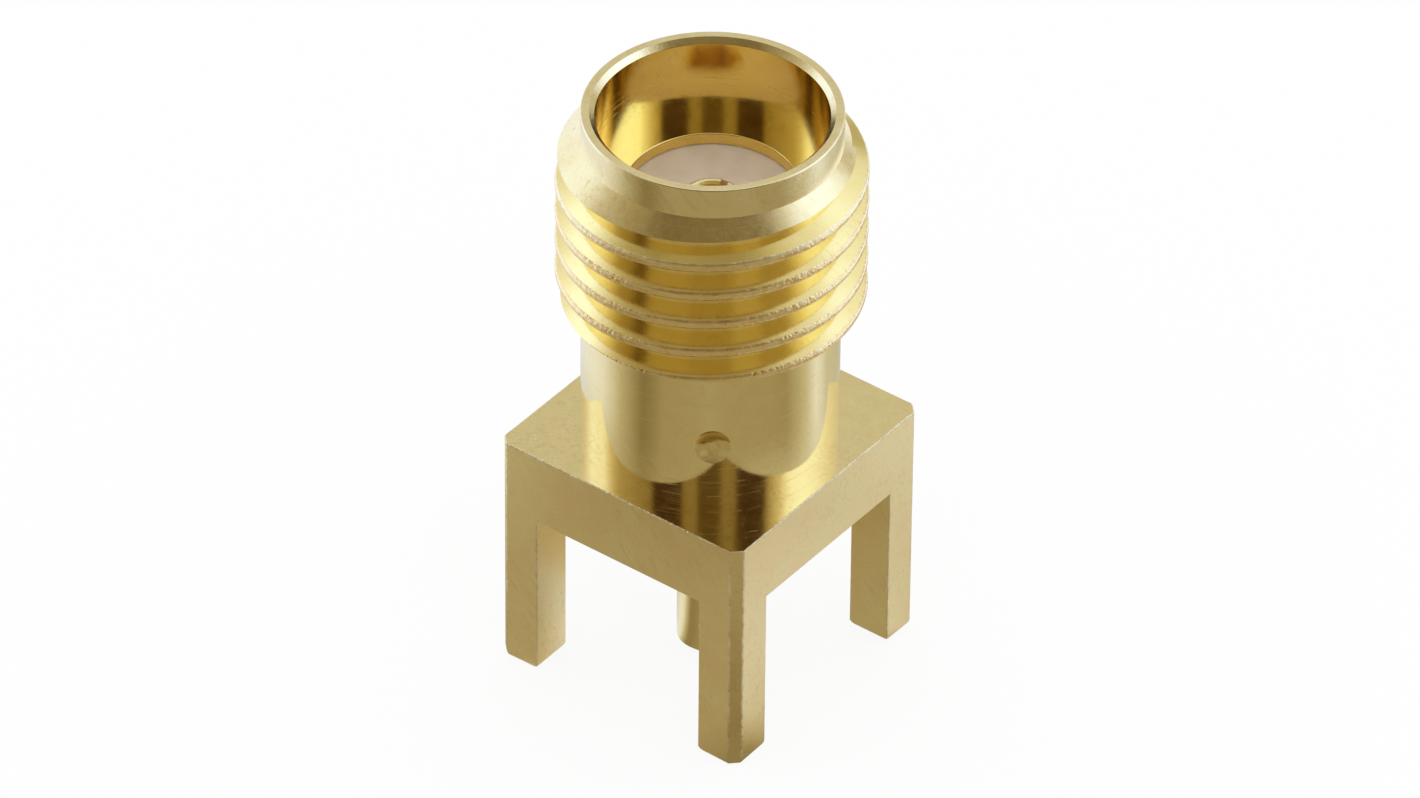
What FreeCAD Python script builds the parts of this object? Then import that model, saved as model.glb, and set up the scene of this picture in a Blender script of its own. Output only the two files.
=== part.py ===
import FreeCAD, Part
import math
import os

# A straight coaxial jack for a circuit board, in millimetres.
# z = 0 is the underside of the square base, where it sits on the board, and the
# axis of the barrel is Z. The four legs and the solder tail reach down through
# the board, and the threaded barrel stands up from it. The sides of the base
# are parallel to X and Y.

# Overall sizes
overall_height = 9.53
leg_length = 3.9

# Square base and its four legs, milled from one block
base_thickness = 1.65
leg_pitch = 5.08
leg_width = 0.97
corner_chamfer = 0.20
base_edge_break = 0.04
leg_tip_break = 0.10

# Turned barrel: neck, thread and smooth pilot under the rim
neck_radius = 2.60
pilot_radius = 2.616
pilot_length = 0.67
rim_outer_break = 0.03
rim_inner_break = 0.11

# Coupling thread, 1/4-36, one start, right-hand
thread_radius = 3.12
thread_pitch = 25.4 / 36
thread_depth = 0.36
thread_crest_width = 0.15
thread_half_angle = 30.0
thread_foot_height = 5.107
thread_foot_break_height = 0.06
thread_foot_break_width = 0.17
first_crest_height = 5.261

# Mating bore, the lip at its floor, and the passage below that holds the insulator
bore_radius = 2.33
bore_depth = 1.866
lip_radius = 1.70
lip_thickness = 0.245
lip_edge_break = 0.03

# Staking mark that a ball-ended punch leaves on the neck
punch_radius = 0.38
punch_depth = 0.11
punch_height = 3.08
punch_angle = -51.6

# Insulator, a turned sleeve that is pushed in from below until it meets the lip
insulator_radius = 2.05
insulator_fit = 0.02
insulator_foot_recess = 0.10
insulator_edge_break = 0.06

# Centre contact: a slotted socket at the top and a solder tail below
contact_radius = 0.635
contact_fit = 0.02
contact_rise = 0.01
socket_radius = 0.47
socket_depth = 2.60
socket_lead_in = 0.10
socket_edge_break = 0.03
slot_count = 4
slot_width = 0.16
slot_depth = 1.90
slot_turn = 8.0
tail_radius = 0.635
tail_tip_break = 0.15
tail_length = 3.9
shank_radius = 0.48

# Barb on the contact, which keeps it from being pulled back out of the insulator
barb_radius = 0.80
barb_height = 3.30
barb_taper = 0.55
barb_land = 0.20

# How far a cutting shape runs past the surface that it cuts
cut_over = 0.5

# Sizes that follow from the ones above
base_side = leg_pitch + leg_width
channel_width = leg_pitch - leg_width
pilot_foot = overall_height - pilot_length
thread_chamfer_foot = pilot_foot - (thread_radius - pilot_radius)
thread_root_radius = thread_radius - thread_depth
bore_floor = overall_height - bore_depth
lip_foot = bore_floor - lip_thickness
passage_radius = insulator_radius + insulator_fit
insulator_top = lip_foot - insulator_fit
contact_top = insulator_top + contact_rise
tail_top = insulator_foot_recess - contact_fit


def point(radius, height):
    """A point of a profile in the XZ half plane."""
    return FreeCAD.Vector(radius, 0, height)


def turned(outline):
    """The solid that a closed outline of (radius, height) pairs sweeps round the axis."""
    corners = [point(radius, height) for radius, height in outline]
    face = Part.Face(Part.makePolygon(corners + corners[:1]))
    return face.revolve(FreeCAD.Vector(0, 0, 0), FreeCAD.Vector(0, 0, 1), 360)


def slab(width_x, width_y, foot, top):
    """A block centred on the axis, between two heights."""
    corner = FreeCAD.Vector(-width_x / 2, -width_y / 2, foot)
    return Part.makeBox(width_x, width_y, top - foot, corner)


def edges_at(shape, height):
    """The straight edges of a shape that lie level at one height."""
    level = []
    for edge in shape.Edges:
        box = edge.BoundBox
        if abs(box.ZMin - height) < 1e-6 and abs(box.ZMax - height) < 1e-6:
            level.append(edge)
    return level


def make_base():
    """The square plate with a leg at each corner.

    A square bar with chamfered corners is milled across from below, once along X
    and once along Y. What the two channels leave is a leg flush with each corner.
    """
    block = slab(base_side, base_side, -leg_length, base_thickness)
    upright = []
    for edge in block.Edges:
        if edge.BoundBox.ZLength > leg_length:
            upright.append(edge)
    block = block.makeChamfer(corner_chamfer, upright)
    block = block.makeChamfer(base_edge_break, edges_at(block, base_thickness))
    run = base_side + 2 * cut_over
    foot = -leg_length - cut_over
    block = block.cut(slab(run, channel_width, foot, 0))
    block = block.cut(slab(channel_width, run, foot, 0))
    return block.makeChamfer(leg_tip_break, edges_at(block, -leg_length))


def make_barrel():
    """The turned outside of the barrel, before its thread is cut.

    From the base up: the neck, the full thread diameter with a small chamfer at its
    foot, a 45 degree chamfer to the smooth pilot, and the rim.
    """
    foot_step = thread_radius - thread_foot_break_width
    return turned([
        (0, 0),
        (neck_radius, 0),
        (neck_radius, thread_foot_height),
        (foot_step, thread_foot_height),
        (thread_radius, thread_foot_height + thread_foot_break_height),
        (thread_radius, thread_chamfer_foot),
        (pilot_radius, pilot_foot),
        (pilot_radius, overall_height - rim_outer_break),
        (pilot_radius - rim_outer_break, overall_height),
        (0, overall_height),
    ])


def make_groove_turn():
    """One turn of the helical groove between the crests of the thread.

    Its section is a trapezium in a plane through the axis: the flat root at its inner
    end, flanks at 60 degrees to each other, and its open side just outside the crests.
    """
    slope = math.tan(math.radians(thread_half_angle))
    root_width = thread_pitch - thread_crest_width - 2 * thread_depth * slope
    open_radius = thread_radius + thread_depth / 4
    open_width = root_width + 2 * (open_radius - thread_root_radius) * slope
    section = Part.makePolygon([
        point(thread_root_radius, -root_width / 2),
        point(open_radius, -open_width / 2),
        point(open_radius, open_width / 2),
        point(thread_root_radius, root_width / 2),
        point(thread_root_radius, -root_width / 2),
    ])
    helix = Part.makeHelix(thread_pitch, thread_pitch, thread_root_radius)
    return Part.Wire(helix.Edges).makePipeShell([section], True, True)


def cut_thread(blank):
    """The blank with the whole groove cut into it, turn after turn.

    The first turn starts in the open under the thread and the last ends in the open
    beside the pilot. first_crest_height is the middle of the lowest crest on the +X
    side, and start_angle only sets where one turn of the groove joins the next.
    """
    start_angle = 30
    rise = thread_pitch * start_angle / 360
    height = first_crest_height - 1.5 * thread_pitch + rise
    turn = make_groove_turn()
    turn.rotate(FreeCAD.Vector(0, 0, 0), FreeCAD.Vector(0, 0, 1), start_angle)
    while height < pilot_foot:
        cutter = turn.copy()
        cutter.translate(FreeCAD.Vector(0, 0, height))
        blank = blank.cut(cutter)
        height += thread_pitch
    return blank


def make_inside():
    """The space that is bored out of the body: the mating bore with the chamfer in its
    mouth, the hole through the lip at its floor, and the passage for the insulator."""
    return turned([
        (0, -cut_over),
        (passage_radius, -cut_over),
        (passage_radius, lip_foot),
        (lip_radius, lip_foot),
        (lip_radius, bore_floor - lip_edge_break),
        (lip_radius + lip_edge_break, bore_floor),
        (bore_radius, bore_floor),
        (bore_radius, overall_height - rim_inner_break),
        (bore_radius + rim_inner_break, overall_height),
        (bore_radius + rim_inner_break, overall_height + cut_over),
        (0, overall_height + cut_over),
    ])


def make_punch():
    """The ball at the end of the punch that stakes the neck, at its full depth.

    Its own radius follows from the radius and the depth of the mark that it leaves.
    """
    ball_radius = (punch_radius ** 2 + punch_depth ** 2) / (2 * punch_depth)
    reach = neck_radius - punch_depth + ball_radius
    turn = math.radians(punch_angle)
    centre = FreeCAD.Vector(reach * math.cos(turn), reach * math.sin(turn), punch_height)
    return Part.makeSphere(ball_radius, centre)


def make_body():
    """The body: base, legs and barrel are one piece of brass."""
    body = make_base().fuse(cut_thread(make_barrel())).removeSplitter()
    body = body.cut(make_inside())
    return body.cut(make_punch())


def contact_outline(grow):
    """The outside of the contact as an outline of (radius, height) pairs.

    The tail ends in a shoulder just below the insulator. The shank above it leads to
    the barb, and the socket stands on the barb. grow is how far the outline is moved
    outwards, for the hole that the contact fits.
    """
    tail = tail_radius + grow
    shank = shank_radius + grow
    barb = barb_radius + grow
    socket = contact_radius + grow
    return [
        (0, -tail_length - grow),
        (tail - tail_tip_break, -tail_length - grow),
        (tail, -tail_length + tail_tip_break - grow),
        (tail, tail_top + grow),
        (shank, tail_top + grow),
        (shank, barb_height - grow),
        (barb, barb_height - grow),
        (barb, barb_height + barb_land),
        (socket, barb_height + barb_land + barb_taper),
        (socket, contact_top - socket_edge_break),
        (socket - socket_edge_break, contact_top + grow),
        (0, contact_top + grow),
    ]


def make_socket():
    """The hole for the mating pin, with a lead-in at its mouth and a drill point below."""
    floor = contact_top - socket_depth
    return turned([
        (0, floor - socket_radius / 2),
        (socket_radius, floor),
        (socket_radius, contact_top - socket_lead_in),
        (socket_radius + socket_lead_in, contact_top),
        (socket_radius + socket_lead_in, contact_top + cut_over),
        (0, contact_top + cut_over),
    ])


def make_contact():
    """The centre contact. Saw cuts across its top leave spring fingers round the socket."""
    contact = turned(contact_outline(0)).cut(make_socket())
    for number in range(slot_count):
        reach = 2 * contact_radius
        saw = Part.makeBox(
            reach,
            slot_width,
            slot_depth + cut_over,
            FreeCAD.Vector(0, -slot_width / 2, contact_top - slot_depth),
        )
        turn = slot_turn + 360 * number / slot_count
        saw.rotate(FreeCAD.Vector(0, 0, 0), FreeCAD.Vector(0, 0, 1), turn)
        contact = contact.cut(saw)
    return contact


def make_insulator():
    """The insulator. Its top lies just under the lip of the body, and its hole follows
    the contact and its barb."""
    foot = insulator_foot_recess
    inner = insulator_radius - insulator_edge_break
    sleeve = turned([
        (0, foot),
        (inner, foot),
        (insulator_radius, foot + insulator_edge_break),
        (insulator_radius, insulator_top - insulator_edge_break),
        (inner, insulator_top),
        (0, insulator_top),
    ])
    return sleeve.cut(turned(contact_outline(contact_fit)))


os.makedirs("parts", exist_ok=True)
pieces = {
    "body": make_body(),
    "insulator": make_insulator(),
    "contact": make_contact(),
}
for name, shape in pieces.items():
    solids = shape.Solids
    if len(solids) != 1:
        raise ValueError(name + " should be one solid")
    solid = solids[0]
    solid.exportStep("parts/" + name + ".step")
    box = solid.BoundBox
    print(name, "valid", solid.isValid(), "volume", round(solid.Volume, 3),
          "z", round(box.ZMin, 3), round(box.ZMax, 3), "faces", len(solid.Faces))
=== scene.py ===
# %% [markdown]
# # A gold-plated coaxial jack
# This lesson dresses a small connector: a turned and threaded barrel on a milled
# square base with four legs, a white insulator, and a slotted contact in the middle.
# The measured solids come first and never move. Everything made here is laid over
# them, in metres, with the board seat at z = 0 and the barrel along Z.

# %% Load the measured solids
import math

import bmesh
import bpy
from mathutils import Matrix, Vector


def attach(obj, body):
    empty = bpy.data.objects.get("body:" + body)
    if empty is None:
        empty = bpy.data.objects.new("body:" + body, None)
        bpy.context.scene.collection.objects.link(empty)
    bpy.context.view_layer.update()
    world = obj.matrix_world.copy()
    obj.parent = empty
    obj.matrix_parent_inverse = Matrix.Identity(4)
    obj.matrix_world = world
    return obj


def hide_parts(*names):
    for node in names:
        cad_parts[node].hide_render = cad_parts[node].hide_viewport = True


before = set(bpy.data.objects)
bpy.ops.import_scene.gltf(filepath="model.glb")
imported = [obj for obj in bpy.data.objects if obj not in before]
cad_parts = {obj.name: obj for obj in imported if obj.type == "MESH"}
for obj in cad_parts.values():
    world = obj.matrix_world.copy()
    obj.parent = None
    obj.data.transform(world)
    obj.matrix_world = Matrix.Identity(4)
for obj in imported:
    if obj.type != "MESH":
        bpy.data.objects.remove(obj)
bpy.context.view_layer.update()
MM = 0.001
print("nodes:", sorted(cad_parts))

# %% [markdown]
# ## Sizes of the real connector
# Real connectors of this kind follow a standard: the thread is 1/4 inch with 36
# turns to the inch, and the legs stand 5.08 mm apart. The main sizes get their names
# here, in millimetres, and every cell below works from the same ones.

# %% Sizes in millimetres
rim_height = 9.53
pilot_foot = 8.86
pilot_radius = 2.616
neck_radius = 2.60
bore_radius = 2.33
bore_floor = 7.664
lip_radius = 1.70
lip_foot = 7.419
passage_radius = 2.07
insulator_top = 7.399
base_top = 1.65
base_half = 3.025
leg_width = 0.97
leg_foot = -3.9
thread_pitch = 25.4 / 36
thread_foot = 5.107
first_crest = 5.261
crest_radius = 3.12
root_radius = 2.76
crest_width = 0.15
flank_slope = math.tan(math.radians(30))
print("thread turns:", round((pilot_foot - thread_foot) / thread_pitch, 2))

# %% [markdown]
# ## Helpers for outlines
# Sharp corners look false on metal, so `rounded` replaces a corner of an outline by
# a short arc. A piece that is worked on in steps passes through a few throwaway
# objects, so three more helpers place an object, fill its mesh and work its
# modifiers in.

# %% Outlines and objects
def rounded(corners, radius, steps=4):
    """The outline with each corner cut by an arc, where radius maps a corner's index to its size."""
    path = []
    count = len(corners)
    for index, corner in enumerate(corners):
        size = radius.get(index, 0)
        here = Vector(corner)
        if not size:
            path.append(here)
            continue
        back = (Vector(corners[index - 1]) - here).normalized()
        ahead = (Vector(corners[(index + 1) % count]) - here).normalized()
        half = back.angle(ahead) / 2
        centre = here + (back + ahead).normalized() * size / math.sin(half)
        start = here + back * size / math.tan(half) - centre
        end = here + ahead * size / math.tan(half) - centre
        for step in range(steps + 1):
            turn = start.lerp(end, step / steps).normalized() * size
            path.append(centre + turn)
    return path


def placed(name, data):
    """A new object at the origin of the scene that shows this mesh or camera."""
    thing = bpy.data.objects.new(name, data)
    bpy.context.collection.objects.link(thing)
    return thing


def filled(name, build):
    """A new object whose mesh is taken from a finished bmesh."""
    mesh = bpy.data.meshes.new(name)
    build.to_mesh(mesh)
    build.free()
    return placed(name, mesh)


def baked(thing, name, *helpers):
    """A new object with thing's modifiers worked into a plain mesh. thing and its helpers go."""
    graph = bpy.context.evaluated_depsgraph_get()
    mesh = bpy.data.meshes.new_from_object(thing.evaluated_get(graph))
    for used in (thing, *helpers):
        bpy.data.objects.remove(used)
    mesh.name = name
    return placed(name, mesh)


print("outline helpers ready")

# %% [markdown]
# ## Helpers for lathe and mill
# A lathe makes a piece by turning one outline round an axis. In Blender the same
# thing is a loop of points, copied at equal angles and joined with four-sided faces.
# A mill takes shapes away from a block, which an exact boolean does as cleanly.

# %% Lathe and mill
def ring_of_points(build, radius, height, steps):
    """The points at one height of a turned piece, in mm. On the axis they are one point."""
    if radius < 1e-6:
        return [build.verts.new((0, 0, height * MM))] * steps
    ring = []
    for step in range(steps):
        angle = 2 * math.pi * step / steps
        ring.append(build.verts.new((
            radius * math.cos(angle) * MM,
            radius * math.sin(angle) * MM,
            height * MM,
        )))
    return ring


def turned(name, outline, steps=256):
    """A closed mesh that the outline, as (radius, height) pairs in mm, sweeps round Z."""
    build = bmesh.new()
    rings = [ring_of_points(build, radius, height, steps) for radius, height in outline]
    for low, high in zip(rings, rings[1:] + rings[:1]):
        for step in range(steps):
            after = (step + 1) % steps
            corners = []
            for vert in (low[step], low[after], high[after], high[step]):
                if vert not in corners:
                    corners.append(vert)
            if len(corners) > 2:
                build.faces.new(corners)
    bmesh.ops.recalc_face_normals(build, faces=build.faces)
    return filled(name, build)


def slab(name, size_x, size_y, foot, top):
    """A block centred on the axis, in mm."""
    build = bmesh.new()
    place = Matrix.Translation((0, 0, (foot + top) / 2 * MM))
    scale = Matrix.Diagonal((size_x * MM, size_y * MM, (top - foot) * MM, 1))
    bmesh.ops.create_cube(build, size=1, matrix=place @ scale)
    return filled(name, build)


def cut(thing, tool, operation="DIFFERENCE"):
    """Adds an exact boolean of thing with tool."""
    step = thing.modifiers.new(operation.lower(), "BOOLEAN")
    step.operation = operation
    step.solver = "EXACT"
    step.object = tool


print("lathe and mill ready")

# %% [markdown]
# ## A helper for smooth shading
# Booleans leave long thin faces, and plain smooth shading smears the light across
# them. Normals that count a large face for more than a small one keep the flat parts
# flat, and only the short arcs between them bend the light.

# %% Smooth shading
def smooth(piece, crease=28):
    """Shades a piece smooth across edges gentler than crease degrees.

    Each corner takes the mean normal of the faces round its point that lean like its
    own, weighted by their area.
    """
    build = bmesh.new()
    build.from_mesh(piece.data)
    limit = math.cos(math.radians(crease))
    size = {face: face.calc_area() for face in build.faces}
    normals = []
    for face in build.faces:
        face.smooth = True
        for corner in face.loops:
            total = Vector()
            for near in corner.vert.link_faces:
                if near.normal.dot(face.normal) > limit:
                    total += near.normal * size[near]
            normals.append(total.normalized() if total.length > 0 else face.normal.copy())
    build.to_mesh(piece.data)
    build.free()
    piece.data.normals_split_custom_set(normals)
    return piece


print("smooth shading ready")

# %% [markdown]
# ## Helpers for node trees
# Materials and Geometry Nodes are both graphs of small steps. A few short functions
# keep the trees below readable: `add` places a node with its settings, `feed` fills
# one of its sockets, and the others place one step and return its result.

# %% Node helpers
def add(tree, kind, **settings):
    """A new node of this kind, with its settings."""
    node = tree.nodes.new(kind)
    for name, value in settings.items():
        setattr(node, name, value)
    return node


def feed(tree, socket, value):
    """Gives a socket a number, a colour or another node's output."""
    if isinstance(value, bpy.types.NodeSocket):
        tree.links.new(value, socket)
    else:
        socket.default_value = value


def maths(tree, operation, first, second=0.0, third=0.0):
    """One arithmetic step between numbers or outputs, as a new output."""
    node = add(tree, "ShaderNodeMath", operation=operation)
    for socket, value in zip(node.inputs, (first, second, third)):
        feed(tree, socket, value)
    return node.outputs[0]


def rescaled(tree, value, low, high, new_low, new_high):
    """value moved from one range to another, and kept inside it."""
    node = add(tree, "ShaderNodeMapRange")
    for socket, number in zip(node.inputs, (value, low, high, new_low, new_high)):
        feed(tree, socket, number)
    return node.outputs[0]


def vector_of(tree, **parts):
    """A vector from its named parts, such as Z. The other parts are 0."""
    node = add(tree, "ShaderNodeCombineXYZ")
    for name, value in parts.items():
        feed(tree, node.inputs[name], value)
    return node.outputs[0]


def parts_of(tree, vector):
    """The X, Y and Z outputs of a vector."""
    node = add(tree, "ShaderNodeSeparateXYZ")
    tree.links.new(vector, node.inputs[0])
    return node.outputs


print("node helpers ready")

# %% [markdown]
# ## The square base and its legs
# The real base is milled from a bar: two channels are cut across its underside, and
# a leg is left at each corner. A box for every leg would leave seams, so the mesh is
# cut the way the metal is, and a fine bevel then catches the light along its edges.
# The narrow strips of that bevel also carry painted highlights.

# %% Mill the base
corner_chamfer = 0.20
tip_rounding = 0.15
edge_rounding = 0.03


def bar_plan():
    """The square bar with chamfered corners, seen from above."""
    short = base_half - corner_chamfer
    plan = []
    for sign_x, sign_y in ((1, 1), (-1, 1), (-1, -1), (1, -1)):
        pair = [(sign_x * base_half, sign_y * short), (sign_x * short, sign_y * base_half)]
        plan += pair if sign_x * sign_y > 0 else pair[::-1]
    return plan


def square_bar():
    """The bar that the base and its legs are cut from."""
    plan = bar_plan()
    build = bmesh.new()
    foot = [build.verts.new((x * MM, y * MM, leg_foot * MM)) for x, y in plan]
    top = [build.verts.new((x * MM, y * MM, base_top * MM)) for x, y in plan]
    build.faces.new(foot[::-1])
    build.faces.new(top)
    for index in range(len(plan)):
        after = (index + 1) % len(plan)
        build.faces.new((foot[index], foot[after], top[after], top[index]))
    bmesh.ops.recalc_face_normals(build, faces=build.faces)
    return filled("base", build)


def soften_edges(piece):
    """Rounds the tips of the legs, then breaks every other sharp edge of the base."""
    build = bmesh.new()
    build.from_mesh(piece.data)
    bmesh.ops.dissolve_limit(build, angle_limit=0.01, verts=build.verts, edges=build.edges)
    tip_level = (leg_foot + 0.01) * MM
    tips = [edge for edge in build.edges if all(vert.co.z < tip_level for vert in edge.verts)]
    bmesh.ops.bevel(build, geom=tips, offset=tip_rounding * MM, segments=4, profile=0.5, affect="EDGES")
    sharp = [edge for edge in build.edges if edge.calc_face_angle(0) > math.radians(40)]
    bmesh.ops.bevel(build, geom=sharp, offset=edge_rounding * MM, segments=2, profile=0.5, affect="EDGES")
    build.to_mesh(piece.data)
    build.free()


def milled_base():
    """The bar with its two channels cut and its edges broken."""
    bar = square_bar()
    run = 4 * base_half
    gap = 2 * (base_half - leg_width)
    channel_foot = leg_foot - 1
    across = slab("channel_x", run, gap, channel_foot, 0)
    along_bar = slab("channel_y", gap, run, channel_foot, 0)
    cut(bar, across)
    cut(bar, along_bar)
    milled_bar = baked(bar, "base", across, along_bar)
    soften_edges(milled_bar)
    return milled_bar


base = milled_base()
print("base faces:", len(base.data.polygons))

# %% [markdown]
# ## The barrel
# The barrel is lathe work: the neck, the core of the thread, a cone and the smooth
# pilot under the rim. It is joined to the base, and the mating bore and the passage
# for the insulator are bored out of both. The round staking mark on the neck is
# pressed in with a ball-ended punch, which leaves a shallow dish.

# %% Turn the barrel and bore it
mark_radius = 0.41
mark_depth = 0.12
mark_height = 3.11
mark_bearing = math.radians(-51.6)
mouth_chamfer = 0.11
barrel_foot = 0.8
passage_foot = -1
overrun = 0.5


def punch_tool():
    """The ball end of the punch, pressed to its full depth into the neck."""
    size = (mark_radius ** 2 + mark_depth ** 2) / (2 * mark_depth)
    arc = [math.radians(degrees) for degrees in range(0, 181, 2)]
    tool = turned("punch", [(size * math.sin(turn), -size * math.cos(turn)) for turn in arc], 96)
    lay = Matrix.Rotation(mark_bearing, 4, "Z") @ Matrix.Rotation(math.pi / 2, 4, "Y")
    place = lay @ Matrix.Translation((0, 0, (neck_radius - mark_depth + size) * MM))
    tool.data.transform(Matrix.Translation((0, 0, mark_height * MM)) @ place)
    return tool


cone_top = pilot_foot - (root_radius - pilot_radius)
barrel = turned("barrel", rounded([
    (0, barrel_foot), (neck_radius, barrel_foot), (neck_radius, thread_foot),
    (root_radius, thread_foot), (root_radius, cone_top), (pilot_radius, pilot_foot),
    (pilot_radius, rim_height), (0, rim_height)],
    {6: 0.03}))
mouth_radius = bore_radius + mouth_chamfer
inside = turned("inside", rounded([
    (0, passage_foot), (passage_radius, passage_foot), (passage_radius, lip_foot),
    (lip_radius, lip_foot), (lip_radius, bore_floor), (bore_radius, bore_floor),
    (bore_radius, rim_height - mouth_chamfer),
    (mouth_radius, rim_height), (mouth_radius, rim_height + overrun), (0, rim_height + overrun)],
    {4: 0.03, 6: 0.02}))
punch = punch_tool()
cut(barrel, base, "UNION")
cut(barrel, inside)
cut(barrel, punch)
body = smooth(baked(barrel, "gold_body", base, inside, punch))
print("body faces:", len(body.data.polygons))

# %% [markdown]
# ## What a Geometry Nodes tree needs
# A tree that can be used again has named inputs for its sizes. Each input has its own
# identifier, and a modifier's value is set by that, not by the name. The tree ends by
# making its instances real and giving them a material, so a plain mesh comes out.

# %% Helpers for Geometry Nodes
def group_input(tree, name, kind, value):
    """Adds a named input with its usual value to a node group."""
    item = tree.interface.new_socket(name, in_out="INPUT", socket_type=kind)
    if value is not None:
        item.default_value = value
    return item.identifier


def turned_and_lifted(tree, geometry, angle, height):
    """The geometry turned about Z by an angle and lifted to a height."""
    node = add(tree, "GeometryNodeTransform")
    feed(tree, node.inputs["Geometry"], geometry)
    tree.links.new(vector_of(tree, Z=angle), node.inputs["Rotation"])
    tree.links.new(vector_of(tree, Z=height), node.inputs["Translation"])
    return node.outputs[0]


def handed_out(tree, geometry, material):
    """Ends a tree: the geometry is made real, takes the material and leaves the group."""
    real = add(tree, "GeometryNodeRealizeInstances")
    feed(tree, real.inputs[0], geometry)
    paint = add(tree, "GeometryNodeSetMaterial")
    feed(tree, paint.inputs["Geometry"], real.outputs[0])
    feed(tree, paint.inputs["Material"], material)
    tree.interface.new_socket("Geometry", in_out="OUTPUT", socket_type="NodeSocketGeometry")
    feed(tree, add(tree, "NodeGroupOutput").inputs[0], paint.outputs[0])


def worked(thing, name, tree, values):
    """A new object with the mesh that the tree makes of thing with these input values."""
    step = thing.modifiers.new("nodes", "NODES")
    step.node_group = tree
    for key, value in values.items():
        step[key] = value
    return baked(thing, name)


print("Geometry Nodes helpers ready")

# %% [markdown]
# ## The coupling thread
# A thread is one section that climbs a helix, so it suits Geometry Nodes: a spiral
# curve carries a trapezium whose crest corners are softened. The section starts a
# little under the root, so that the ridge sinks into the barrel without a gap.

# %% Grow the thread along its helix
steps_per_turn = 200
steps_per_corner = 6
sunk = 0.03


def helix_path(tree, source):
    """The spiral that carries the section, with its normals kept upright."""
    helix = add(tree, "GeometryNodeCurveSpiral")
    feed(tree, helix.inputs["Resolution"], steps_per_turn)
    feed(tree, helix.inputs["Reverse"], True)
    feed(tree, helix.inputs["Rotations"], source["Turns"])
    feed(tree, helix.inputs["Start Radius"], source["Root Radius"])
    feed(tree, helix.inputs["End Radius"], source["Root Radius"])
    feed(tree, helix.inputs["Height"], maths(tree, "MULTIPLY", source["Turns"], source["Pitch"]))
    level = add(tree, "GeometryNodeSetCurveNormal", mode="Z_UP")
    feed(tree, level.inputs["Curve"], helix.outputs[0])
    return level.outputs[0]


def thread_section(tree, source):
    """The trapezium between two grooves, from under the root to the crest."""
    depth = maths(tree, "SUBTRACT", source["Crest Radius"], source["Root Radius"])
    tall = maths(tree, "ADD", depth, sunk * MM)
    section = add(tree, "GeometryNodeCurvePrimitiveQuadrilateral", mode="TRAPEZOID")
    feed(tree, section.inputs["Bottom Width"],
         maths(tree, "MULTIPLY_ADD", tall, 2 * flank_slope, source["Crest Width"]))
    feed(tree, section.inputs["Top Width"], source["Crest Width"])
    feed(tree, section.inputs["Offset"], 0.0)
    feed(tree, section.inputs["Height"], tall)
    place = parts_of(tree, add(tree, "GeometryNodeInputPosition").outputs[0])
    on_crest = maths(tree, "GREATER_THAN", place["Y"], 0.0)
    soft = add(tree, "GeometryNodeFilletCurve", mode="POLY")
    feed(tree, soft.inputs["Curve"], section.outputs[0])
    feed(tree, soft.inputs["Radius"], maths(tree, "MULTIPLY", source["Edge Softness"], on_crest))
    feed(tree, soft.inputs["Count"], steps_per_corner)
    stand = add(tree, "GeometryNodeTransform")
    feed(tree, stand.inputs["Geometry"], soft.outputs[0])
    feed(tree, stand.inputs["Rotation"], (0, 0, -math.pi / 2))
    middle = maths(tree, "MULTIPLY_ADD", tall, 0.5, -sunk * MM)
    tree.links.new(vector_of(tree, X=middle), stand.inputs["Translation"])
    return stand.outputs[0]


def thread_tree():
    """Geometry Nodes for a threaded ridge. Returns the tree and its inputs' identifiers."""
    tree = bpy.data.node_groups.new("thread ridge", "GeometryNodeTree")
    sizes = {
        "Pitch": thread_pitch * MM, "Turns": 5.0, "Root Radius": root_radius * MM,
        "Crest Radius": crest_radius * MM, "Crest Width": crest_width * MM,
        "Edge Softness": 0.10 * MM, "Start Height": 5.0 * MM, "Start Angle": 0.0,
    }
    keys = {name: group_input(tree, name, "NodeSocketFloat", size) for name, size in sizes.items()}
    keys["Material"] = group_input(tree, "Material", "NodeSocketMaterial", None)
    source = add(tree, "NodeGroupInput").outputs
    sweep = add(tree, "GeometryNodeCurveToMesh")
    feed(tree, sweep.inputs["Curve"], helix_path(tree, source))
    feed(tree, sweep.inputs["Profile Curve"], thread_section(tree, source))
    feed(tree, sweep.inputs["Fill Caps"], True)
    ridge = turned_and_lifted(tree, sweep.outputs[0], source["Start Angle"], source["Start Height"])
    handed_out(tree, ridge, source["Material"])
    return tree, keys


ridge_tree, ridge_keys = thread_tree()
root_share = crest_width + 2 * (crest_radius - root_radius) * flank_slope
ridge_start = thread_foot - root_share / 2
start_angle = 2 * math.pi * ((ridge_start - first_crest) / thread_pitch % 1)
ridge_turns = (pilot_foot - ridge_start) / thread_pitch
print("ridge starts at", round(ridge_start, 3), "mm and makes", round(ridge_turns, 2), "turns")

# %% [markdown]
# ## Patterns for the materials
# A pattern that reads Object coordinates stays on the metal from every side. In
# millimetres, the size of a spot can be given as it would be measured on the part.

# %% Pattern helpers
def millimetres(tree):
    """Object coordinates in millimetres, as one vector and as x, y, z."""
    place = add(tree, "ShaderNodeTexCoord")
    scale = add(tree, "ShaderNodeMapping", vector_type="POINT")
    scale.inputs["Scale"].default_value = (1 / MM, 1 / MM, 1 / MM)
    tree.links.new(place.outputs["Object"], scale.inputs["Vector"])
    return scale.outputs[0], parts_of(tree, scale.outputs[0])


def from_axis(tree, parts):
    """The distance of a place from the Z axis."""
    squares = maths(tree, "MULTIPLY_ADD", parts["X"], parts["X"],
                    maths(tree, "MULTIPLY", parts["Y"], parts["Y"]))
    return maths(tree, "SQRT", squares)


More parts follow.
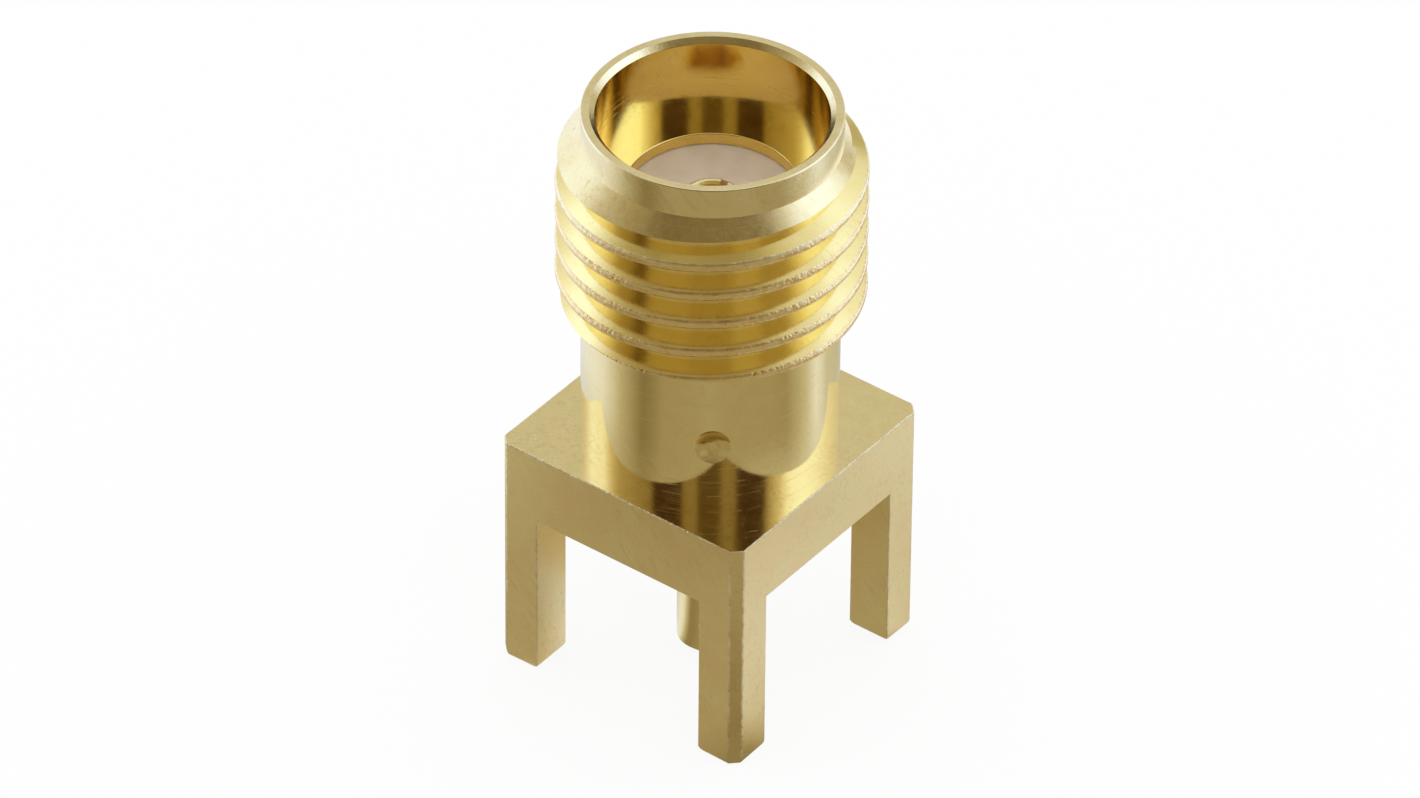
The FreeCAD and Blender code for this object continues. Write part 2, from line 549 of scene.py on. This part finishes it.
def noise(tree, vector, size, detail=3.0, roughness=0.55):
    """Noise whose spots are about size millimetres across, from 0 to 1."""
    node = add(tree, "ShaderNodeTexNoise")
    node.inputs["Scale"].default_value = 1 / size
    node.inputs["Detail"].default_value = detail
    node.inputs["Roughness"].default_value = roughness
    tree.links.new(vector, node.inputs["Vector"])
    return node.outputs[0]


def ramp(tree, value, stops):
    """A colour for each value: stops are (position, colour) pairs in order."""
    node = add(tree, "ShaderNodeValToRGB")
    feed(tree, node.inputs[0], value)
    bands = node.color_ramp.elements
    while len(bands) < len(stops):
        bands.new(0.5)
    for band, (position, colour) in zip(bands, stops):
        band.position = position
        band.color = (*colour, 1)
    return node.outputs["Color"]


def blend(tree, share, first, second):
    """first where share is 0, second where it is 1."""
    node = add(tree, "ShaderNodeMix", data_type="RGBA")
    for socket, value in zip((node.inputs[0], node.inputs[6], node.inputs[7]), (share, first, second)):
        feed(tree, socket, value)
    return node.outputs[2]


print("pattern helpers ready")

# %% [markdown]
# ## Marks of tools and handling
# A cutting tool leaves fine rings, a chip under it scores a thin line, and handling
# leaves slanting rubs. Noise that varies along one direction only draws all three.

# %% Marks in the metal
def ring_marks(tree, parts, along_what, size=0.03):
    """Fine rings that a cutting tool leaves: by height on a shaft, or by radius on a face."""
    position = parts["Z"] if along_what == "height" else from_axis(tree, parts)
    return noise(tree, vector_of(tree, Z=position), size, 2.0)


def scores(tree, vector, parts, along_what):
    """Thin lines along the tool's path, 1 where a chip scored the metal and 0 elsewhere."""
    line = rescaled(tree, ring_marks(tree, parts, along_what, 0.07), 0.54, 0.62, 0, 1)
    patch = rescaled(tree, noise(tree, vector, 0.5, 1.0), 0.46, 0.56, 0, 1)
    return maths(tree, "MULTIPLY", line, patch)


def scuffs(tree, vector):
    """Faint slanting rub marks, from 0 beside them to 1 at their middle."""
    lay = add(tree, "ShaderNodeMapping", vector_type="TEXTURE")
    lay.inputs["Rotation"].default_value = (0.5, 0.9, 0.3)
    lay.inputs["Scale"].default_value = (0.7, 0.09, 0.09)
    tree.links.new(vector, lay.inputs["Vector"])
    rub = rescaled(tree, noise(tree, lay.outputs[0], 1.0, 2.0), 0.52, 0.72, 0, 1)
    patch = rescaled(tree, noise(tree, vector, 1.4, 1.0), 0.42, 0.60, 0, 1)
    return maths(tree, "MULTIPLY", rub, patch)


print("tool marks ready")

# %% [markdown]
# ## One recipe for all the gold
# The whole body carries one plating, but the metal under it was cut in different
# ways: satin where it was tumbled, bright where a sharp tool left it. A metallic
# Principled shader needs only a colour and a roughness that wander a little, and a
# fine bump for the grain. Turned faces get their grain along the tool's path.

# %% Recipe for gold
dull_gold = (0.5, 0.36, 0.14, 1)


def new_material(name):
    """An empty node material, with its shader and output joined."""
    material = bpy.data.materials.new(name)
    material.use_nodes = True
    tree = material.node_tree
    tree.nodes.clear()
    shader = add(tree, "ShaderNodeBsdfPrincipled")
    output = add(tree, "ShaderNodeOutputMaterial")
    tree.links.new(shader.outputs[0], output.inputs[0])
    return material, tree, shader


def raise_relief(tree, shader, relief, height):
    """Lets a pattern bump the surface, by up to height in mm."""
    bump = add(tree, "ShaderNodeBump")
    bump.inputs["Distance"].default_value = height * MM
    bump.inputs["Strength"].default_value = 1.0
    tree.links.new(relief, bump.inputs["Height"])
    tree.links.new(bump.outputs[0], shader.inputs["Normal"])


def gold(name, pale, deep, smoothest, roughest, grain=0.06, height=0.0015, marks=None,
         mottle=0.35, wear=0.3, metal=1.0):
    """Gold plating that wanders between two colours and two roughnesses, with some wear.

    grain and mottle are the sizes of its fine and its broad spots, height is that of
    its bumps, all in mm, and marks says which way the rings of the tool run.
    """
    material, tree, shader = new_material(name)
    vector, parts = millimetres(tree)
    cloud = noise(tree, vector, mottle, 4.0, 0.6)
    fine = noise(tree, vector, grain, 2.0, 0.6)
    both = maths(tree, "MULTIPLY_ADD", fine, 0.4, maths(tree, "MULTIPLY", cloud, 0.6))
    scratch = maths(tree, "MULTIPLY", scuffs(tree, vector), wear)
    clean = ramp(tree, both, [(0.36, deep), (0.62, pale)])
    feed(tree, shader.inputs["Base Color"], blend(tree, scratch, clean, dull_gold))
    rough = rescaled(tree, both, 0.35, 0.65, smoothest, roughest)
    rough = maths(tree, "MULTIPLY_ADD", scratch, 0.2, rough)
    shader.inputs["Metallic"].default_value = metal
    relief = fine
    if marks:
        rough = maths(tree, "MULTIPLY_ADD", scores(tree, vector, parts, marks), 0.16, rough)
        relief = maths(tree, "MULTIPLY_ADD", ring_marks(tree, parts, marks), 0.6,
                       maths(tree, "MULTIPLY", fine, 0.4))
    feed(tree, shader.inputs["Roughness"], rough)
    raise_relief(tree, shader, relief, height)
    return material


print("recipe for gold ready")

# %% [markdown]
# ## The finishes
# Each finish names what made it. The bore wall is a deeper, warmer gold as painted shade
# in the bore, and the lip at its floor is paler as a painted highlight. The wall of the
# socket is matte and only part metallic: light that falls into so deep a hole comes back
# from a mirror nearly black.

# %% The finishes of the metal
pale_gold = (0.92, 0.79, 0.48)
deep_gold = (0.88, 0.73, 0.40)
turned_gold = (0.92, 0.78, 0.43)
pink_gold = (0.90, 0.69, 0.38)
satin = gold("gold satin turned", pale_gold, deep_gold, 0.18, 0.25, height=0.002, wear=0.2)
worn = gold("gold worn crest", (0.96, 0.76, 0.40), (0.89, 0.64, 0.30), 0.25, 0.42,
            grain=0.11, height=0.025)
cone_finish = gold("gold rough cone", turned_gold, (0.88, 0.69, 0.34), 0.22, 0.32,
                   grain=0.12, height=0.0007)
milled = gold("gold satin milled", turned_gold, pink_gold, 0.28, 0.38,
              height=0.004, mottle=0.9, wear=0.2)
# The pale cream specks of the chipped edge are painted highlights along the edges of the base.
chipped_with_painted_glints = gold("gold chipped edge with painted glints", (0.98, 0.90, 0.66), (0.78, 0.60, 0.32), 0.35, 0.6,
               grain=0.10, height=0.03)
neck_finish = gold("gold neck", turned_gold, deep_gold, 0.08, 0.12,
                   height=0.0004, marks="height", wear=0.15)
top_finish = gold("gold base top", turned_gold, deep_gold, 0.10, 0.15,
                  height=0.0005, marks="radius")
# The bore wall's deeper, warmer gold is painted shade, and the lip's paler gold is a painted highlight.
bore_with_painted_shade = gold("gold bore with painted shade", (0.93, 0.70, 0.22), (0.90, 0.66, 0.17), 0.10, 0.15,
              height=0.0002, marks="height")
lip_with_painted_highlight = gold("gold lip with painted highlight", (0.96, 0.87, 0.58), (0.94, 0.83, 0.50), 0.10, 0.15,
                  height=0.0002)
flank = gold("gold thread flank", (0.93, 0.76, 0.34), (0.90, 0.72, 0.28), 0.11, 0.17,
             height=0.0006, wear=0.15)
# The dish of the punch mark is a darker gold than the neck round it: painted shade in the hollow.
pressed_with_painted_shade = gold("gold pressed mark with painted shade", (0.88, 0.72, 0.38), (0.76, 0.60, 0.29), 0.12, 0.20,
               height=0.002)
socket_finish = gold("gold spring fingers", (0.99, 0.86, 0.48), (0.96, 0.80, 0.38), 0.36, 0.48,
                     height=0.001)
socket_bore = gold("gold socket bore", (0.95, 0.62, 0.17), (0.90, 0.56, 0.14), 0.45, 0.60,
                   height=0.001, metal=0.25)
# The pale gold of the last turn is partly its blunt edge and partly a painted highlight.
blunt_with_painted_highlight = gold("gold blunt last turn with painted highlight", (0.97, 0.83, 0.50), (0.92, 0.74, 0.40), 0.32, 0.45,
             grain=0.11, height=0.015)
print("gold materials:", len([m for m in bpy.data.materials if m.name.startswith("gold")]))

# %% [markdown]
# ## Which face of the body gets which finish
# Each face of the body knows where it lies, so a few plain questions about its
# height, its distance from the axis and its direction choose its material slot.

# %% Finish the body
slack = 0.01


def is_edge_break(face):
    """Whether a face of the base is one of the narrow strips along its edges."""
    sizes = [abs(part) for part in face.normal]
    corner = abs(sizes[0] - sizes[1]) < 0.05 and sizes[2] < 0.05
    return max(sizes) < 0.99 and not corner and face.center.z > (leg_foot + 0.2) * MM


def base_finish(face, top):
    """The finish of a face of the base and its legs, whose highest corner is at top."""
    if is_edge_break(face):
        return chipped_with_painted_glints
    level = face.normal.z > 0.99 and top > base_top - 2 * slack
    return top_finish if level else milled


def body_finish(face, corners):
    """The finish of a face of the body with these corners, in mm."""
    distances = [math.hypot(corner.x, corner.y) for corner in corners]
    reach = max(distances)
    top = max(corner.z for corner in corners)
    if top < base_top + slack / 2 and reach > neck_radius - slack:
        return base_finish(face, top)
    if reach < bore_radius + 1.5 * slack:
        return lip_with_painted_highlight if face.normal.z > 0.9 else bore_with_painted_shade
    if top < thread_foot + slack:
        in_mark = min(distances) < neck_radius - 1.5 * slack and abs(face.normal.z) < 0.7
        return pressed_with_painted_shade if in_mark else neck_finish
    if top < cone_top + slack:
        return flank
    if top < pilot_foot + slack:
        return cone_finish
    return satin


slots = [satin, milled, neck_finish, top_finish, bore_with_painted_shade, flank, chipped_with_painted_glints, cone_finish, pressed_with_painted_shade,
         lip_with_painted_highlight]
for material in slots:
    body.data.materials.append(material)
for face in body.data.polygons:
    corners = [body.data.vertices[index].co / MM for index in face.vertices]
    face.material_index = slots.index(body_finish(face, corners))
print("body finishes:", len(slots))

# %% [markdown]
# ## Trim the thread and finish its crests
# A boolean keeps what lies inside the turned outline, which gives the ridge its
# run-in at the foot and at the cone. Crests are worn by the nuts that were screwed
# over them. The last turn is blunt where the cone has cut into it, and its pale gold
# is partly that blunt edge and partly a painted highlight.

# %% Trim and finish the thread
foot_break_width = 0.17
foot_break_height = 0.06
trim_gap = 0.02
core_radius = 2.0
crest_rounding = 0.052
blunt_reach = 0.19

seed = placed("helix_seed", bpy.data.meshes.new("helix"))
helix = worked(seed, "helix", ridge_tree, {
    ridge_keys["Turns"]: ridge_turns,
    ridge_keys["Start Height"]: ridge_start * MM,
    ridge_keys["Start Angle"]: start_angle,
    ridge_keys["Material"]: flank,
})
clear = crest_radius + trim_gap
foot_rise = (foot_break_width + trim_gap) * foot_break_height / foot_break_width
cone_skin = 0.002
envelope = turned("envelope", [
    (core_radius, thread_foot), (crest_radius - foot_break_width, thread_foot),
    (clear, thread_foot + foot_rise), (clear, pilot_foot - (clear - pilot_radius)),
    (pilot_radius - cone_skin, pilot_foot - cone_skin), (core_radius, pilot_foot - cone_skin)])
cut(helix, envelope, "INTERSECT")
ridge = smooth(baked(helix, "thread", envelope))
for material in (worn, cone_finish, blunt_with_painted_highlight):
    ridge.data.materials.append(material)
cone_foot = pilot_foot - (crest_radius - pilot_radius)
last_turn = cone_foot - thread_pitch
for face in ridge.data.polygons:
    reach = min(math.hypot(*ridge.data.vertices[index].co.xy) for index in face.vertices)
    on_last_turn = face.center.z > last_turn * MM and face.normal.z > 0.3
    on_cone = face.center.z > (cone_foot - 0.03) * MM and abs(face.normal.z - math.sqrt(0.5)) < 0.03
    if on_cone:
        face.material_index = 2
    elif on_last_turn and reach > (crest_radius - blunt_reach) * MM:
        face.material_index = 3
    elif reach > (crest_radius - crest_rounding) * MM:
        face.material_index = 1
print("ridge faces:", len(ridge.data.polygons))

# %% [markdown]
# ## The insulator
# The white sleeve is a fluoropolymer. It is soft and slightly see-through, so light
# scatters a little way in, and its turned end has very faint rings. Its colour is painted
# darker and warmer than white: painted shade and painted warm light from the gold round it.
# Its hole follows the outside of the contact, whose fingers bend in toward their mouth.

# %% Turn the insulator
contact_radius = 0.635
finger_radius = 0.58
bend_foot = 6.4
bend_top = 7.0
insulator_radius = 2.05
insulator_foot = 0.10
shaft_hole = contact_radius + 0.01
finger_hole = finger_radius + 0.005


def polymer_with_painted_shade():
    """Milky white plastic, painted darker and warmer: painted shade and painted warm light from the gold.
    """
    material, tree, shader = new_material("milky insulator with painted shade")
    vector, parts = millimetres(tree)
    cloud = noise(tree, vector, 0.5, 3.0)
    # Painted shade and painted warm light: the base colour is darker and warmer than the white plastic.
    feed(tree, shader.inputs["Base Color"],
         ramp(tree, cloud, [(0.35, (0.73, 0.60, 0.45)), (0.65, (0.80, 0.67, 0.52))]))
    shader.inputs["Roughness"].default_value = 0.45
    shader.inputs["Subsurface Weight"].default_value = 0.15
    shader.inputs["Subsurface Radius"].default_value = (1.0, 0.8, 0.6)
    shader.inputs["Subsurface Scale"].default_value = 0.2 * MM
    raise_relief(tree, shader, ring_marks(tree, parts, "radius"), 0.001)
    return material


sleeve = smooth(turned("insulator_sleeve", rounded([
    (shaft_hole, insulator_foot), (insulator_radius, insulator_foot),
    (insulator_radius, insulator_top), (finger_hole, insulator_top),
    (finger_hole, bend_top), (shaft_hole, bend_foot)],
    {1: 0.05, 2: 0.05, 3: 0.005}), 192))
sleeve.data.materials.append(polymer_with_painted_shade())
print("insulator faces:", len(sleeve.data.polygons))

# %% [markdown]
# ## The centre contact
# The contact is a turned pin with a socket bored into its top. Saw cuts split the
# socket into spring fingers. The cuts repeat round the axis, so Geometry Nodes place
# one saw blade on every point of a circle and take them all away in one boolean.

# %% Turn the contact
tip_break = 0.15
shank_radius = 0.48
shank_foot = 0.08
shank_top = 3.30
socket_radius = 0.44
socket_depth = 2.6
drill_point = 0.25
contact_rise = 0.03
contact_top = insulator_top + contact_rise

blank = turned("contact_blank", rounded([
    (0, leg_foot), (contact_radius - tip_break, leg_foot), (contact_radius, leg_foot + tip_break),
    (contact_radius, shank_foot), (shank_radius, shank_foot), (shank_radius, shank_top),
    (contact_radius, shank_top), (contact_radius, bend_foot), (finger_radius, bend_top),
    (finger_radius, contact_top), (socket_radius, contact_top),
    (socket_radius, contact_top - socket_depth), (0, contact_top - socket_depth - drill_point)],
    {2: 0.05, 9: 0.03, 10: 0.09}), 96)
print("contact blank faces:", len(blank.data.polygons))

# %% [markdown]
# ## The slots of the contact
# Each saw blade is a thin box that stands on a circle round the axis and faces it.
# Its number, width and depth are inputs, so another contact can have six slots.

# %% Saw the slots
blade_circle = 0.6


def saw_blades(tree, source):
    """Thin boxes, one for every slot, that stand round the axis with their middle at z = 0."""
    circle = add(tree, "GeometryNodeCurvePrimitiveCircle")
    feed(tree, circle.inputs["Resolution"], source["Slots"])
    feed(tree, circle.inputs["Radius"], blade_circle * MM)
    blade = add(tree, "GeometryNodeMeshCube")
    size = vector_of(tree, X=2 * blade_circle * MM, Y=source["Width"],
                     Z=maths(tree, "MULTIPLY", source["Depth"], 2.0))
    tree.links.new(size, blade.inputs["Size"])
    place = parts_of(tree, add(tree, "GeometryNodeInputPosition").outputs[0])
    bearing = maths(tree, "ARCTAN2", place["Y"], place["X"])
    blades = add(tree, "GeometryNodeInstanceOnPoints")
    feed(tree, blades.inputs["Points"], circle.outputs[0])
    feed(tree, blades.inputs["Instance"], blade.outputs[0])
    tree.links.new(vector_of(tree, Z=bearing), blades.inputs["Rotation"])
    real = add(tree, "GeometryNodeRealizeInstances")
    feed(tree, real.inputs[0], blades.outputs[0])
    return real.outputs[0]


def slot_tree():
    """Geometry Nodes that saw slots into the top of a contact."""
    tree = bpy.data.node_groups.new("contact slots", "GeometryNodeTree")
    group_input(tree, "Geometry", "NodeSocketGeometry", None)
    keys = {
        "Slots": group_input(tree, "Slots", "NodeSocketInt", 4),
        "Width": group_input(tree, "Width", "NodeSocketFloat", 0.16 * MM),
        "Depth": group_input(tree, "Depth", "NodeSocketFloat", 1.9 * MM),
        "Top": group_input(tree, "Top", "NodeSocketFloat", 7.4 * MM),
        "Turn": group_input(tree, "Turn", "NodeSocketFloat", 0.0),
        "Material": group_input(tree, "Material", "NodeSocketMaterial", None),
    }
    source = add(tree, "NodeGroupInput").outputs
    blades = turned_and_lifted(tree, saw_blades(tree, source), source["Turn"], source["Top"])
    saw = add(tree, "GeometryNodeMeshBoolean", operation="DIFFERENCE", solver="EXACT")
    feed(tree, saw.inputs["Self Intersection"], True)
    feed(tree, saw.inputs["Mesh 1"], source["Geometry"])
    feed(tree, saw.inputs["Mesh 2"], blades)
    handed_out(tree, saw.outputs[0], source["Material"])
    return tree, keys


saw_tree, saw_keys = slot_tree()
contact = smooth(worked(blank, "centre_contact", saw_tree, {
    saw_keys["Turn"]: math.radians(8),
    saw_keys["Top"]: contact_top * MM,
    saw_keys["Material"]: socket_finish,
}))
contact.data.materials.clear()
for material in (socket_finish, neck_finish, socket_bore):
    contact.data.materials.append(material)
for face in contact.data.polygons:
    inward = face.normal.xy.dot(face.center.xy) < 0
    if face.center.z < 0.5 * MM:
        face.material_index = 1
    elif inward and abs(face.normal.z) < 0.1:
        face.material_index = 2
print("contact faces:", len(contact.data.polygons))

# %% [markdown]
# ## Tie the pieces to the solids
# Every piece rides on the one rigid body and stands for its solid.

# %% Tie the pieces
for piece, node, slot_name in (
        (body, "body", "gold_body"), (ridge, "body", "gold_body"),
        (sleeve, "insulator", "insulator"), (contact, "contact", "gold_contact")):
    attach(piece, "root")
    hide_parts(node)
print("pieces tied")

# %% [markdown]
# ## The camera
# The picture was taken with a long lens from well above. Its angles were fitted to
# the outlines of the rim, the thread and the legs. The lens was fitted in pixels of
# the photograph's width, and Blender takes it for a sensor of 36 mm.

# %% Set the camera
azimuth = math.radians(37.11)
elevation = math.radians(38.445)
roll = math.radians(0.542)
distance = 249.94
aim_height = 2.2716
lens_pixels = 12458
picture_pixels = 1420
sensor_width = 36

back = Vector((math.sin(azimuth) * math.cos(elevation),
               -math.cos(azimuth) * math.cos(elevation), math.sin(elevation)))
camera_data = bpy.data.cameras.new("camera")
camera_data.sensor_width = sensor_width
camera_data.lens = lens_pixels * sensor_width / picture_pixels
camera_data.clip_start = 0.01
camera = placed("camera", camera_data)
stand = Matrix.Translation(Vector((0, 0, aim_height * MM)) + back * distance * MM)
face_back = back.to_track_quat("Z", "Y").to_matrix().to_4x4()
camera.matrix_world = stand @ face_back @ Matrix.Rotation(roll, 4, "Z")
bpy.context.scene.camera = camera
print("lens:", round(camera_data.lens, 1), "mm")

# %% [markdown]
# ## The light of the studio
# Polished gold shows whatever stands round it, so the studio is half of the look.
# One ramp turns a plain brightness into the tint that it has in this room: what is
# dark is warm, and the lit walls of the tent are as white as daylight. A brightness
# for each bearing says how light each side of the room is.

# %% Tint and bearing
toward = Vector((math.sin(azimuth), -math.cos(azimuth), 0))
rightward = Vector((math.cos(azimuth), math.sin(azimuth), 0))
brightest = 1.25


def along(tree, vector, direction):
    """How far a vector goes in a direction."""
    node = add(tree, "ShaderNodeVectorMath", operation="DOT_PRODUCT")
    tree.links.new(vector, node.inputs[0])
    node.inputs[1].default_value = direction
    return node.outputs["Value"]


def tint(tree, brightness):
    """The colour of a wall or floor of the studio that is this bright."""
    stops = [
        (0.0, (0.0, 0.0, 0.0)), (0.05, (0.05, 0.024, 0.009)), (0.1, (0.1, 0.065, 0.018)),
        (0.24, (0.24, 0.19, 0.09)), (0.38, (0.38, 0.325, 0.19)), (0.6, (0.6, 0.575, 0.44)),
        (0.8, (0.8, 0.82, 0.84)), (1.0, (1.0, 1.09, 1.26)), (brightest, (1.25, 1.56, 2.3))]
    return ramp(tree, maths(tree, "DIVIDE", brightness, brightest),
                [(level / brightest, colour) for level, colour in stops])


def bearing_of(tree, vector):
    """The bearing of a vector in degrees: 0 is toward the camera, and 90 is to its right."""
    turn = maths(tree, "ARCTAN2", along(tree, vector, rightward), along(tree, vector, toward))
    return maths(tree, "DEGREES", turn)


def profile(tree, degrees, stops):
    """A brightness for each bearing: stops are (degrees, brightness) pairs in order."""
    share = rescaled(tree, degrees, -180, 180, 0, 1)
    return ramp(tree, share, [((turn + 180) / 360, (level, level, level)) for turn, level in stops])


print("tint and bearing helpers ready")

# %% [markdown]
# ## The tent round the connector
# The tent has four zones: a low wall, a wall at the height of the camera, a ceiling
# and the zenith. Each is bright at the sides and behind, and dim in the opening where
# the camera stands. Three dark uprights in that opening make the stripes in the bore
# and at the foot of the neck. The tent is a colour for each direction in the world.

# %% Light the tent
# A post is its bearing, its half width and its brightness. Each other pair holds the
# heights, in degrees, between which one zone fades into the next.
posts = ((-38, 14, 0.05), (0, 10.5, 0.1), (38, 14, 0.05))
post_foot = (24, 27)
post_top = (46, 49)
low_wall_top = (12, 20)
wall_top = (43, 54)
ceiling_top = (68, 80)


def upright(tree, degrees, height, centre, width):
    """1 on a dark upright in the opening of the tent, 0 beside it."""
    aside = maths(tree, "ABSOLUTE", maths(tree, "SUBTRACT", degrees, centre))
    post = rescaled(tree, aside, width - 2, width + 2, 1, 0)
    below_top = rescaled(tree, height, *post_top, 1, 0)
    above_foot = rescaled(tree, height, *post_foot, 0, 1)
    return maths(tree, "MULTIPLY", post, maths(tree, "MULTIPLY", below_top, above_foot))


def walls(tree, degrees, height):
    """The low wall and the wall above it, with the dark uprights in its opening."""
    low_wall = profile(tree, degrees, [
        (-180, 0.6), (-125, 1.1), (-95, 0.95), (-60, 0.6), (-40, 0.36), (40, 0.36), (70, 0.65),
        (95, 1.0), (112, 0.95), (127, 0.55), (180, 0.5)])
    wall = profile(tree, degrees, [
        (-180, 0.63), (-150, 0.78), (-130, 1.15), (-108, 1.12), (-98, 0.7), (-88, 0.48),
        (-72, 0.38), (-55, 0.28), (45, 0.28), (55, 0.45), (64, 0.72), (76, 1.2), (92, 1.25),
        (112, 1.15), (140, 0.9), (180, 0.63)])
    for centre, width, level in posts:
        post = upright(tree, degrees, height, centre, width)
        wall = blend(tree, post, wall, (level, level, level, 1))
    return blend(tree, rescaled(tree, height, *low_wall_top, 0, 1), low_wall, wall)


def roof(tree, degrees, height):
    """The ceiling, and the zenith straight above the connector."""
    ceiling = profile(tree, degrees, [
        (-180, 0.95), (-122, 0.76), (-107, 0.54), (-95, 0.34), (-60, 0.3), (-30, 0.18),
        (30, 0.22), (60, 0.38), (90, 0.75), (120, 1.1), (180, 0.95)])
    zenith = profile(tree, degrees, [
        (-180, 1.0), (-120, 0.8), (-70, 0.46), (-40, 0.35), (40, 0.35), (70, 0.46),
        (100, 0.8), (180, 1.0)])
    return blend(tree, rescaled(tree, height, *ceiling_top, 0, 1), ceiling, zenith)


def studio_world():
    """The tent, as a colour for each direction. Only metal sees it: the rest sees white."""
    world = bpy.data.worlds.new("studio tent")
    world.use_nodes = True
    tree = world.node_tree
    tree.nodes.clear()
    direction = add(tree, "ShaderNodeTexCoord").outputs["Generated"]
    degrees = bearing_of(tree, direction)
    height = maths(tree, "DEGREES", maths(tree, "ARCSINE", along(tree, direction, (0, 0, 1))))
    level = blend(tree, rescaled(tree, height, *wall_top, 0, 1),
                  walls(tree, degrees, height), roof(tree, degrees, height))
    path = add(tree, "ShaderNodeLightPath").outputs
    plain = blend(tree, path["Is Glossy Ray"], (1.0, 1.0, 1.0, 1), tint(tree, level))
    seen = blend(tree, path["Is Camera Ray"], plain, (1, 1, 1, 1))
    light = add(tree, "ShaderNodeBackground")
    feed(tree, light.inputs["Color"], seen)
    light.inputs["Strength"].default_value = 1.0
    tree.links.new(light.outputs[0], add(tree, "ShaderNodeOutputWorld").inputs[0])
    return world


bpy.context.scene.world = studio_world()
bpy.context.scene.view_settings.view_transform = "Standard"
print("world:", bpy.context.scene.world.name)

# %% [markdown]
# ## The floor
# The connector stands on white card. To the camera the card is white, with only the soft
# shadow left in it. In the metal it shows painted light and shade, given off by the card
# as if the tent lit it: bright to both sides and behind, and dimmer toward the opening.
# The painted light changes from ring to ring of the card, so each ring has its own brightness for each
# bearing.

# %% Light the card
# Each pair holds the distances, in mm, between which one ring fades into the next.
under_edge = (3.5, 4.1)
near_edge = (7.5, 11)
far_edge = (20, 25)


def painted_card_light(tree, degrees, distance_out):
    """The painted light and shade of the card at a bearing and a distance from the axis in mm."""
    under = profile(tree, degrees, [
        (-180, 0.5), (-100, 0.9), (-84, 0.85), (-68, 0.5), (-56, 0.3), (-44, 0.3), (0, 0.42),
        (85, 0.42), (180, 0.5)])
    near = profile(tree, degrees, [
        (-180, 0.62), (-130, 0.6), (-95, 0.45), (-60, 0.44), (-12, 0.43), (4, 0.29),
        (17, 0.29), (32, 0.74), (60, 0.78), (85, 0.76), (100, 0.7), (180, 0.62)])
    far = profile(tree, degrees, [
        (-180, 0.78), (-138, 0.88), (-114, 0.91), (-100, 0.87), (-87, 0.70), (-76, 0.51),
        (-65, 0.375), (-56, 0.25), (-48, 0.29), (-38, 0.38), (-13, 0.40), (0, 0.42),
        (13, 0.40), (50, 0.39), (64, 0.365), (74, 0.47), (86, 0.62), (98, 0.88), (106, 0.8),
        (114, 0.66), (137, 0.58), (180, 0.6)])
    distant = profile(tree, degrees, [
        (-180, 0.9), (-125, 1.2), (-96, 1.2), (-86, 1.0), (-74, 0.42), (-62, 0.3),
        (-57, 0.13), (-51, 0.13), (-46, 0.42), (-20, 0.42), (-12, 0.36), (12, 0.36),
        (18, 0.48), (34, 0.48), (38, 0.38), (56, 0.42), (66, 0.85), (76, 1.2), (125, 1.2),
        (180, 0.9)])
    level = under
    for edge, ring in ((under_edge, near), (near_edge, far), (far_edge, distant)):
        level = blend(tree, rescaled(tree, distance_out, *edge, 0, 1), level, ring)
    return level


print("rings of the card end at:", under_edge[1], near_edge[1], far_edge[1], "mm")

# %% [markdown]
# ## Lay the floor
# A shader of its own would make the card either white or lit. A Mix Shader with Light
# Path chooses: rays from the camera see mostly white, rays that leave the metal see the
# card's painted light and shade, and all others see plain white card.

# %% Lay the floor
floor_reach = 2.0


def floor_material():
    """White card, with a plain white face to the camera and painted light and shade in the metal."""
    material, tree, shader = new_material("white card")
    vector, parts = millimetres(tree)
    shader.inputs["Base Color"].default_value = (0.97, 0.97, 0.97, 1)
    shader.inputs["Roughness"].default_value = 0.9
    shader.inputs["Specular IOR Level"].default_value = 0.0
    # Painted light and shade: the card gives it off as an emission that only the metal sees, though the
    # card is no lamp.
    level = painted_card_light(tree, bearing_of(tree, vector), from_axis(tree, parts))
    path = add(tree, "ShaderNodeLightPath").outputs
    painted_glow = add(tree, "ShaderNodeEmission")
    feed(tree, painted_glow.inputs["Color"],
         blend(tree, path["Is Camera Ray"], tint(tree, level), (1, 1, 1, 1)))
    share = maths(tree, "MULTIPLY_ADD", path["Is Camera Ray"], 0.9, path["Is Glossy Ray"])
    mix = add(tree, "ShaderNodeMixShader")
    feed(tree, mix.inputs[0], maths(tree, "MINIMUM", share, 1.0))
    tree.links.new(shader.outputs[0], mix.inputs[1])
    tree.links.new(painted_glow.outputs[0], mix.inputs[2])
    output = [node for node in tree.nodes if node.type == "OUTPUT_MATERIAL"][0]
    tree.links.new(mix.outputs[0], output.inputs[0])
    return material


def lay_floor():
    """A large square of card under the legs."""
    mesh = bpy.data.meshes.new("floor")
    level = leg_foot * MM
    corners = [(-floor_reach, -floor_reach, level), (floor_reach, -floor_reach, level),
               (floor_reach, floor_reach, level), (-floor_reach, floor_reach, level)]
    mesh.from_pydata(corners, [], [(0, 1, 2, 3)])
    mesh.materials.append(floor_material())
    placed("floor", mesh)


lay_floor()
print("floor at", leg_foot, "mm")
